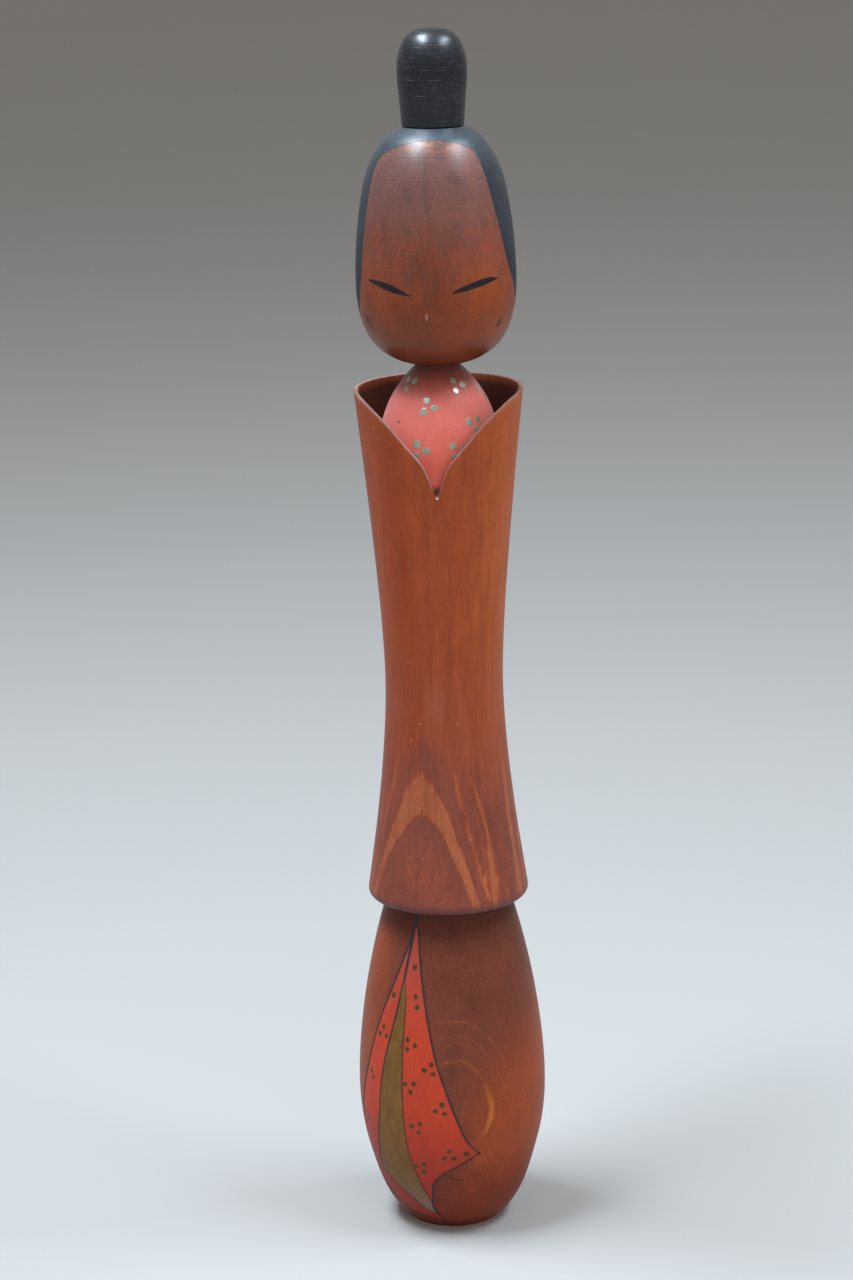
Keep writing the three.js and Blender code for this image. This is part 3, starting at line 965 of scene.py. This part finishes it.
def brush_paint(name, colours, tint, streak, roughness, coat=0.0, coat_roughness=0.3,
                metallic=0.0, sheen=0.0, wear=0.0, scratch=0.0, low=None, high=None, blots=(),
                coat_span=None):
    """Brushed paint: streaks along the grain, cloudiness, tool rings, and specks and scratches where it
    has rubbed. Low and high are other tints, each with the height where it begins and the height where
    it has taken over. A blot is a dark spot, given as its angle, height, reach in degrees and reach in
    millimetres. A varnish coat may grow from nothing to its full weight over a span of heights."""
    shade = Shade(name)
    strokes = shade.ripple(0.6, 9, 3, 0.6)
    cloud = shade.ripple(5, 1.5, 3)
    marks = lathe_marks(shade)
    paint = tint
    for other, waver in ((low, 4), (high, 1)):
        if other:
            other_tint, begins, full = other
            paint = shade.mix(shade.fade(shade.z + cloud * waver, begins, full), paint, other_tint)
    paint = shade.gain(paint, 1 + strokes * streak + cloud * streak * 0.7 + marks * streak * 0.4)
    if wear:
        paint = shade.mix(shade.specks(3.2, 0.4) * wear, paint, colours.rubbed)
    for angle, height, wide, tall in blots:
        blot = shade.near(shade.angle(), angle, wide) * shade.near(shade.z + cloud * 0.5, height, tall)
        paint = shade.mix(blot * 0.9, paint, colours.blot)
    if scratch:
        lines = shade.fade(marks * 0.7 + shade.ripple(2.6, 0.2, 4) * 0.8, 0.2, 0.9)
        lines = lines + shade.fade(strokes, 0.3, 0.7) * 0.5
        paint = shade.mix(lines * scratch, paint, colours.scratch)
    if coat_span:
        coat = shade.fade(shade.z, *coat_span) * coat
    rough = roughness + strokes * 0.05 + cloud * 0.04
    relief = strokes * 0.005 + marks * 0.006
    return shade.surface(paint, rough, relief, coat, coat_roughness, metallic, sheen, specular=0.25)


def bare_dowel(colours):
    """Bare beech: short fine flecks along the dowel."""
    shade = Shade("bare_beech")
    fibre = shade.ripple(0.35, 14, 4, 0.6)
    fleck = shade.fade(shade.ripple(0.9, 5, 2), 0.3, 0.6)
    wood = shade.gain(colours.dowel, 1 + fibre * 0.18 - fleck * 0.2)
    return shade.surface(wood, 0.65 + fibre * 0.06, fibre * 0.01, specular=0.3)


def studio_floor(colours):
    """A plain pale floor, very slightly uneven in tone."""
    shade = Shade("pale_floor")
    tint = shade.gain(colours.floor, 1 + shade.ripple(240, 1, 2) * 0.012)
    return shade.surface(tint, 0.85 + shade.ripple(30) * 0.02, specular=0.2)


# ---- Pieces --------------------------------------------------------------------------------------


def settings_of(context):
    """The sizes in millimetres, as plain numbers, and the colours."""
    sizes = context.scene.kokeshi_sizes
    names = KokeshiSizes.__annotations__
    return {name: getattr(sizes, name) / MM for name in names}, context.scene.kokeshi_colours


class KOKESHI_OT_lower_body(bpy.types.Operator):
    """Turn the rounded lower body"""

    bl_idname = "kokeshi.lower_body"
    bl_label = "Lower Body"

    def execute(self, context):
        sizes, colours = settings_of(context)
        check_fit("lower_body", BODY)
        wall = BODY.profile(-sizes["paint_bed"])
        socket = bore("waist_dowel", GLUE_GAP, "low", BODY_TOP)[::-1]
        shape = turned([*FOOT_EDGE, *wall, *socket])
        shape.piece("lower_body_wood", lower_body_wood(colours), "figure", "body_wood", ["lower_body"])
        return {"FINISHED"}


class KOKESHI_OT_hem(bpy.types.Operator):
    """Paint the red hem, its olive band, the drawn lines and the dots"""

    bl_idname = "kokeshi.hem"
    bl_label = "Painted Hem"

    def execute(self, context):
        sizes, colours = settings_of(context)
        bed, coat = sizes["paint_bed"], sizes["paint_coat"]
        # The low tint is painted shade towards the foot; the high tint is duller paint with painted shade
        # under the robe.
        red = brush_paint(
            "hem_red_paint", colours, colours.red, 0.16, 0.5, wear=0.25, low=(colours.red_foot_shade, 60, 6),
            high=(colours.red_dull_and_shaded, 70, 108),
        )
        rear = edge_curve(PANEL_REAR, PANEL_FOOT)
        front = edge_curve(PANEL_FRONT, HEM_BACK)
        panel = painted_patch(BODY, rear, front, bed, coat)
        panel.piece("hem_panel", red, "figure", "body_wood")
        olive = brush_paint(
            "hem_olive_paint", colours, colours.olive, 0.45, 0.5, wear=0.4, low=(colours.olive_low, 26, 5),
        )
        band_rear = edge_curve(BAND_REAR, BAND_FOOT)
        band_front = edge_curve(BAND_FRONT)
        band = painted_patch(BODY, band_rear, band_front, bed, coat * BAND_COATS)
        band.piece("hem_band", olive, "figure", "body_wood")
        self.draw_lines(sizes, colours)
        dots = Shape()
        places = trefoil_dots(BODY, HEM_TREFOILS, sizes["trefoil"]) + HEM_DOTS
        brushed_dots(dots, BODY, places, sizes["hem_dot"], coat - bed, 0.3, seed=3)
        dot_paint = brush_paint("hem_dot_paint", colours, colours.dot_dark, 0.3, 0.45, metallic=0.2)
        dots.piece("hem_dots", dot_paint, "figure", "body_wood")
        return {"FINISHED"}

    @staticmethod
    def draw_lines(sizes, colours):
        """The ink lines along the edges of the panel and the band. Each has a share of the full width."""
        width = sizes["ink_width"]
        lift = 2 * sizes["paint_coat"] - sizes["paint_bed"]
        lines = [
            (PANEL_FRONT, 1.0), (HEM_BACK, 1.0), (PANEL_REAR, 1.0), (PANEL_FOOT, 0.9), (BAND_REAR, 1.0),
            (BAND_FRONT, 0.55), (BAND_FOOT, 0.5), (HEM_FOLD, 0.4), (APEX_LINE, 1.5), (ROBE_LINE, 1.3),
        ]
        ink = Shape()
        for path, share in lines:
            brush_stroke(ink, BODY, path, width * share, lift)
        brushed_dots(ink, BODY, [HEM_BACK[0]], width * 2, lift, 0, seed=1)
        paint = brush_paint("hem_ink", colours, colours.hem_ink, 0.4, 0.55)
        ink.piece("hem_lines", paint, "figure", "body_wood")


def v_height(aside):
    """Height of the sawn V at a distance from its middle: a round drilled tip, then the curved side."""
    side = spline(V_SIDE, 12)
    tip = V_HOLE_HEIGHT - np.sqrt(np.clip(V_HOLE_RADIUS**2 - aside**2, 0, None))
    return np.where(aside < V_HOLE_RADIUS, tip, np.interp(aside, side[:, 0], side[:, 1]))


def sawn_height(radius, angle):
    """Height of the sawn V, or of the level rim where it is lower or behind, at a radius and an angle."""
    cut = np.minimum(v_height(radius * np.abs(np.sin(angle))), RIM_HEIGHT)
    return np.where(np.cos(angle) > 0, cut, RIM_HEIGHT)


def collar_top(wall_radius, angle, rounds=40):
    """Height where a wall meets the V or the rim: the height is put back into the wall's radius until
    it settles, because the wall leans."""
    height = np.full(angle.shape, RIM_HEIGHT)
    for _ in range(rounds):
        height = sawn_height(wall_radius(height), angle)
    return height


def eased_corner(start, corner, end, steps=5):
    """Rows round a corner: the quadratic curve from start to end that leans on the corner."""
    rows = []
    for t in np.linspace(0, 1, steps):
        rows.append((1 - t) ** 2 * start + 2 * t * (1 - t) * corner + t**2 * end)
    return rows


def robe_rows(ease, columns=400, crowding=0.85):
    """The robe as rows of points. Columns crowd towards the front, where the V is narrow: the angle is
    u - crowding * sin u for even steps of u. Below the collar a row has one height all round; above,
    each column runs to its own height on the V or the rim, over the eased sawn edge and down the cup."""
    even = np.linspace(0, 2 * np.pi, columns, endpoint=False)
    angle = even - crowding * np.sin(even)
    cup_wall = np.array([CUP_FLOOR, CUP_GRIP, (RIM_RADIUS - RIM_WALL, RIM_HEIGHT)])
    rows, sawn, cup = [], [], []

    def outer(height):
        return np.interp(height, ROBE.curve[:, 1], ROBE.curve[:, 0])

    def inner(height):
        return np.interp(height, cup_wall[:, 1], cup_wall[:, 0])

    def level(radius, height):
        return np.stack([np.full(columns, radius), np.full(columns, height)], -1)

    def sawn_row(radius):
        return np.stack([radius, sawn_height(radius, angle)], -1)

    def take(new_rows, is_sawn=0.0, is_cup=0.0):
        rows.extend(new_rows)
        sawn.extend([is_sawn] * len(new_rows))
        cup.extend([is_cup] * len(new_rows))

    def wall_row(wall, height):
        return np.stack([wall(height), height], -1)

    out_top, in_top = collar_top(outer, angle), collar_top(inner, angle)
    socket = bore("waist_dowel", GLUE_GAP, "high", ROBE_BASE)
    take([level(*point) for point in socket[1:]])
    edge_radius, edge_height = ROBE_EDGE_CENTRE
    for turn in np.radians(np.linspace(-90, -15, 9)):
        reach = ROBE_EDGE_RADIUS
        take([level(edge_radius + reach * math.cos(turn), edge_height + reach * math.sin(turn))])
    lower = ROBE.curve[ROBE.curve[:, 1] < COLLAR_SHOULDER]
    take([level(*point) for point in lower[::2]])
    outer_start, inner_end = out_top - ease, in_top - ease
    for share in np.linspace(0, 1, 26)[1:-1]:
        take([wall_row(outer, COLLAR_SHOULDER + (outer_start - COLLAR_SHOULDER) * share)])
    out_corner, in_corner = wall_row(outer, out_top), wall_row(inner, in_top)
    lip_out, lip_in = out_corner[:, 0] - ease, in_corner[:, 0] + ease
    take(eased_corner(wall_row(outer, outer_start), out_corner, sawn_row(lip_out)), OUTER_LIP_BARE)
    for share in (0.25, 0.5, 0.75):
        take([sawn_row(lip_out + (lip_in - lip_out) * share)], is_sawn=1.0)
    take(eased_corner(sawn_row(lip_in), in_corner, wall_row(inner, inner_end)), INNER_LIP_BARE)
    for share in np.linspace(0, 1, 13)[1:]:
        take([wall_row(inner, inner_end + (CUP_GRIP[1] - inner_end) * share)], is_cup=1.0)
    for height in np.linspace(CUP_GRIP[1], CUP_FLOOR[1], 7)[1:]:
        take([level(float(inner(height)), height)], is_cup=1.0)
    well = bore("chest_dowel", GLUE_GAP, "low", CUP_FLOOR[1])[::-1]
    take([level(*point) for point in well[:2]], is_cup=1.0)
    profile = np.stack(rows)
    points = around(angle[None, :], profile[..., 0], profile[..., 1])
    marks = {name: np.repeat(np.array(values)[:, None], columns, 1)
             for name, values in (("sawn", sawn), ("cup", cup))}
    return points, socket[0][1], well[-1][1], marks


class KOKESHI_OT_robe(bpy.types.Operator):
    """Turn the waisted robe and saw the V in its collar"""

    bl_idname = "kokeshi.robe"
    bl_label = "Robe"

    def execute(self, context):
        sizes, colours = settings_of(context)
        check_fit("robe", ROBE)
        points, low_pole, high_pole, marks = robe_rows(sizes["rim_round"])
        shape = Shape()
        shape.tube(points, np.array([0, 0, low_pole]), np.array([0, 0, high_pole]))
        shape.piece("robe_wood", robe_wood(colours), "figure", "robe_wood", ["robe"], marks)
        chip = Shape()
        brushed_dots(chip, ROBE, [CHIP_PLACE], CHIP_WIDTH, 0.01, 0, seed=5)
        bare = brush_paint("bare_chip", colours, colours.chip, 0.2, 0.7)
        chip.piece("collar_chip", bare, "figure", "robe_wood")
        return {"FINISHED"}


class KOKESHI_OT_chest(bpy.types.Operator):
    """Turn the chest, paint it coral and dot it"""

    bl_idname = "kokeshi.chest"
    bl_label = "Chest"

    def execute(self, context):
        sizes, colours = settings_of(context)
        check_fit("chest", CHEST)
        bed = sizes["paint_bed"]
        socket = bore("chest_dowel", GLUE_GAP, "high", CHEST_FLOOR)
        well = bore("neck_peg", GLUE_GAP, "low", NECK_HEIGHT)[::-1]
        wall = CHEST.profile(-bed)
        shape = turned([*socket, (CHEST_FLOOR_RADIUS, CHEST_FLOOR), *wall, *well])
        # The high tint is the head's painted shadow on the chest; the paler coral above the low tint is
        # partly a painted sheen.
        coral = brush_paint(
            "coral_paint", colours, colours.coral, 0.12, 0.5, sheen=0.3, wear=0.12,
            low=(colours.coral_low, 297, 274), high=(colours.coral_head_shadow, 297, 308), blots=CHEST_BLOTS,
        )
        shape.piece("chest_painted", coral, "figure", "chest_paint", ["chest"])
        dots = Shape()
        places = trefoil_dots(CHEST, CHEST_TREFOILS, sizes["trefoil"] * 1.15)
        brushed_dots(dots, CHEST, places, sizes["chest_dot"], -bed, 1.0, seed=8)
        bronze = brush_paint("dot_bronze_paint", colours, colours.dot_pale, 0.3, 0.36, metallic=0.6)
        dots.piece("chest_dots", bronze, "figure", "chest_paint")
        return {"FINISHED"}


class KOKESHI_OT_head(bpy.types.Operator):
    """Turn the head"""

    bl_idname = "kokeshi.head"
    bl_label = "Head"

    def execute(self, context):
        sizes, colours = settings_of(context)
        check_fit("head", HEAD)
        socket = bore("neck_peg", RUNNING_GAP, "high", HEAD_BASE)
        well = bore("topknot_dowel", GLUE_GAP, "low", CROWN_HEIGHT)[::-1]
        shape = turned([*socket, *HEAD.profile(-sizes["paint_bed"]), *well])
        shape.piece("head_wood", face_wood(colours), "head", "face_wood", ["head"])
        return {"FINISHED"}


def hair_film(bed, coat, columns=220, open_rows=90, closed_rows=10, blend=0.3, slope=0.0015):
    """The painted hair, as a closed skin over the back and sides of the head.

    A row starts on the right hairline, goes round the back and ends on the left hairline. Up to the top
    of the forehead both ends follow the hairline; from there on the row closes over the forehead. The
    height of a point is a share of the way from the nape line to the crown, and that share turns from
    the hairline's own into an even one over the blend, which is a share of the row. The slope at the
    border is a share of the row too."""
    nape = spline(NAPE, 14)[::-1]
    along = np.linspace(0, 1, open_rows)
    closing = np.linspace(0, 1, closed_rows + 1)[1:]
    crown = HEAD.arc[-1]

    def nape_arc(degrees):
        """Distance along the outline of the nape line. Its angles run from -360 to 0, and past its ends
        it stays level."""
        behind = np.where(degrees > 180, degrees - 360, degrees)
        turned_back = np.where(behind > 0, behind - 360, behind)
        return HEAD.arc_at(np.interp(turned_back, nape[:, 0], nape[:, 1]))

    def end_of_rows(hairline):
        """Angle and share of every row at one hairline, in even steps of its length on the head."""
        line = spline(hairline, 14)
        step = np.diff(line * (MM_PER_DEGREE, 1), axis=0)
        so_far = np.concatenate([[0], np.cumsum(np.hypot(step[:, 0], step[:, 1]))])
        at = along * so_far[-1]
        angle = np.interp(at, so_far, line[:, 0])
        low = nape_arc(angle)
        share = (HEAD.arc_at(np.interp(at, so_far, line[:, 1])) - low) / (crown - low)
        closed_share = share[-1] + (1 - share[-1]) * closing
        return np.append(angle, np.zeros(closed_rows)), np.append(share, closed_share)

    left_angle, left_share = end_of_rows(HAIRLINE_LEFT)
    right_angle, right_share = end_of_rows(HAIRLINE_RIGHT)
    even_share = np.linspace(0, 1, open_rows + closed_rows)
    across = np.concatenate([[0], np.linspace(slope, 1 - slope, columns), [1]])[None, :]
    angle = right_angle[:, None] + (360 + left_angle - right_angle)[:, None] * across
    from_right = np.clip(1 - across / blend, 0, 1) ** 2
    from_left = np.clip(1 - (1 - across) / blend, 0, 1) ** 2
    share = right_share[:, None] * from_right + left_share[:, None] * from_left
    share = share + even_share[:, None] * (1 - from_right - from_left)
    low = nape_arc(angle)
    arc = low + (crown - low) * np.clip(share, 0, 1)
    lift = np.full(arc.shape, coat - bed)
    lift[[0, -1], :] = -bed - BORDER_DIP
    lift[:open_rows, [0, -1]] = -bed - BORDER_DIP
    turn = np.radians(angle)
    shape = Shape()
    under = HEAD.place(turn, arc, -bed - HAIR_FILM_DEPTH)
    shape.film(HEAD.place(turn, arc, lift), under, open_rows - 1)
    return shape


class KOKESHI_OT_face(bpy.types.Operator):
    """Paint the hair, the eyes, the nose and its shade, and the side locks"""

    bl_idname = "kokeshi.face"
    bl_label = "Hair and Face"

    def execute(self, context):
        sizes, colours = settings_of(context)
        bed, coat = sizes["paint_bed"], sizes["paint_coat"]
        # The low tint is painted shade towards the nape, the high tint a painted sheen on the crown.
        black = brush_paint(
            "hair_paint", colours, colours.hair, 0.4, 0.42, 0.6, 0.4, scratch=0.3,
            low=(colours.hair_nape_shade, 358, 326), high=(colours.hair_crown_sheen, 374, 386), coat_span=(325, 380),
        )
        hair_film(bed, coat).piece("hair", black, "head", "hair_paint")
        ink = brush_paint("eye_ink", colours, colours.ink, 0.3, 0.5)
        eyes = Shape()
        for path in (LEFT_EYE, RIGHT_EYE):
            brush_stroke(eyes, HEAD, path, sizes["eye_width"], -bed, blunt=1.9, point=0.85, steps=20)
        eyes.piece("eyes", ink, "head", "hair_paint")
        pink = brush_paint("nose_paint", colours, colours.nose, 0.2, 0.45)
        nose = Shape()
        brush_stroke(nose, HEAD, NOSE, NOSE_WIDTH, -bed, blunt=2.2)
        nose.piece("nose", pink, "head", "face_wood")
        faint = brush_paint("lock_ink", colours, colours.lock_ink, 0.4, 0.45)
        locks = Shape()
        for path in SIDE_LOCKS:
            brush_stroke(locks, HEAD, path, LOCK_WIDTH, -bed - BORDER_DIP, blunt=2)
        brush_stroke(locks, HEAD, NOSE_SHADE, NOSE_SHADE_WIDTH, -bed - BORDER_DIP, blunt=2)
        locks.piece("side_locks", faint, "head", "hair_paint")
        return {"FINISHED"}


class KOKESHI_OT_topknot(bpy.types.Operator):
    """Turn the topknot and paint it black"""

    bl_idname = "kokeshi.topknot"
    bl_label = "Topknot"

    def execute(self, context):
        _, colours = settings_of(context)
        check_fit("topknot", KNOT)
        socket = bore("topknot_dowel", GLUE_GAP, "high", KNOT_BASE)
        black = brush_paint("topknot_paint", colours, colours.knot, 0.5, 0.45, 0.7, 0.3, scratch=0.42)
        turned([*socket, *KNOT.curve]).piece("topknot_painted", black, "head", "hair_paint", ["topknot"])
        return {"FINISHED"}


class KOKESHI_OT_dowels(bpy.types.Operator):
    """Give the dowels their bare beech"""

    bl_idname = "kokeshi.dowels"
    bl_label = "Dowels"

    def execute(self, context):
        beech = bare_dowel(context.scene.kokeshi_colours)
        for name in ("waist_dowel", "chest_dowel", "neck_peg", "topknot_dowel"):
            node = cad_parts[name]
            node.data.materials.clear()
            node.data.materials.append(beech)
        return {"FINISHED"}


# ---- Studio --------------------------------------------------------------------------------------


def soft_lamp(name, place, aim, size, power, tint):
    """A rectangular area lamp, its length along Y when it hangs overhead, that looks towards an aim."""
    lamp = bpy.data.lights.new(name, "AREA")
    lamp.shape = "RECTANGLE"
    lamp.size, lamp.size_y = size
    lamp.energy = power
    lamp.color = tint
    made = bpy.data.objects.new(name, lamp)
    bpy.context.scene.collection.objects.link(made)
    ahead = (Vector(aim) - Vector(place)).normalized()
    long_side = Vector((0, 1, 0)) if abs(ahead.y) < 0.5 else Vector((0, 0, 1))
    right = ahead.cross(long_side).normalized()
    turn = Matrix((right, right.cross(ahead), -ahead)).transposed()
    made.matrix_world = Matrix.Translation(place) @ turn.to_4x4()
    return made


def add_camera(studio):
    """A camera on a circle round the doll, turned by heading, pitch and roll."""
    side, pitch, roll = studio.camera_side, studio.camera_pitch, studio.camera_roll
    heading = side + studio.camera_heading
    place = Vector((math.sin(side), -math.cos(side), 0)) * studio.camera_distance
    place.z = studio.camera_height
    level = math.cos(pitch)
    ahead = Vector((-math.sin(heading) * level, math.cos(heading) * level, -math.sin(pitch)))
    right = ahead.cross(Vector((0, 0, 1))).normalized()
    up = right.cross(ahead)
    right_rolled = right * math.cos(roll) + up * math.sin(roll)
    up_rolled = up * math.cos(roll) - right * math.sin(roll)
    turn = Matrix((right_rolled, up_rolled, -ahead)).transposed()
    camera = bpy.data.cameras.new("camera")
    camera.lens = studio.lens
    camera.sensor_width = SENSOR_WIDTH
    made = bpy.data.objects.new("camera", camera)
    made.matrix_world = Matrix.Translation(place) @ turn.to_4x4()
    bpy.context.scene.collection.objects.link(made)
    bpy.context.scene.camera = made


class KOKESHI_OT_studio(bpy.types.Operator):
    """Lay the floor, hang the lamps and set up the camera"""

    bl_idname = "kokeshi.studio"
    bl_label = "Studio"

    def execute(self, context):
        studio, colours = context.scene.kokeshi_studio, context.scene.kokeshi_colours
        add_camera(studio)
        reach = FLOOR_REACH
        corners = [(-reach, -reach, 0), (reach, -reach, 0), (reach, reach, 0), (-reach, reach, 0)]
        mesh = bpy.data.meshes.new("floor")
        mesh.from_pydata(corners, [], [(0, 1, 2, 3)])
        mesh.materials.append(studio_floor(colours))
        floor = bpy.data.objects.new("floor", mesh)
        context.scene.collection.objects.link(floor)
        for name, place in (("window_left", (-0.42, -0.12, 1.4)), ("window_right", (0.68, -0.12, 1.35))):
            soft_lamp(name, place, LAMP_AIM, WINDOW_SIZE, getattr(studio, name), studio.window_tint)
        fill = soft_lamp("fill", (0.9, -1.9, 0.9), (0, 0, 0.2), (1.6, 1.2), studio.fill, studio.fill_tint)
        fill.visible_glossy = False
        world = bpy.data.worlds.new("room")
        world.use_nodes = True
        light = world.node_tree.nodes["Background"]
        light.inputs["Color"].default_value = rgba(studio.room_tint)
        light.inputs["Strength"].default_value = studio.room
        context.scene.world = world
        context.scene.view_settings.view_transform = "Standard"
        return {"FINISHED"}


# ---- Panel and registration ----------------------------------------------------------------------


STEPS = (
    KOKESHI_OT_studio,
    KOKESHI_OT_lower_body,
    KOKESHI_OT_hem,
    KOKESHI_OT_robe,
    KOKESHI_OT_chest,
    KOKESHI_OT_head,
    KOKESHI_OT_face,
    KOKESHI_OT_topknot,
    KOKESHI_OT_dowels,
)


class KOKESHI_PT_panel(bpy.types.Panel):
    """The doll's steps and settings"""

    bl_idname = "KOKESHI_PT_panel"
    bl_label = "Kokeshi Doll"
    bl_space_type = "VIEW_3D"
    bl_region_type = "UI"
    bl_category = "Kokeshi"

    def draw(self, context):
        for step in STEPS:
            self.layout.operator(step.bl_idname)
        for group in ("kokeshi_sizes", "kokeshi_colours", "kokeshi_studio"):
            settings = getattr(context.scene, group)
            box = self.layout.box()
            for name in type(settings).__annotations__:
                box.prop(settings, name)


CLASSES = (KokeshiSizes, KokeshiColours, KokeshiStudio, *STEPS, KOKESHI_PT_panel)


def register():
    for each in CLASSES:
        bpy.utils.register_class(each)
    bpy.types.Scene.kokeshi_sizes = PointerProperty(type=KokeshiSizes)
    bpy.types.Scene.kokeshi_colours = PointerProperty(type=KokeshiColours)
    bpy.types.Scene.kokeshi_studio = PointerProperty(type=KokeshiStudio)


def unregister():
    del bpy.types.Scene.kokeshi_studio
    del bpy.types.Scene.kokeshi_colours
    del bpy.types.Scene.kokeshi_sizes
    for each in reversed(CLASSES):
        bpy.utils.unregister_class(each)


def main():
    register()
    for step in STEPS:
        group, name = step.bl_idname.split(".")
        getattr(getattr(bpy.ops, group), name)()


if __name__ == "__main__":
    main()
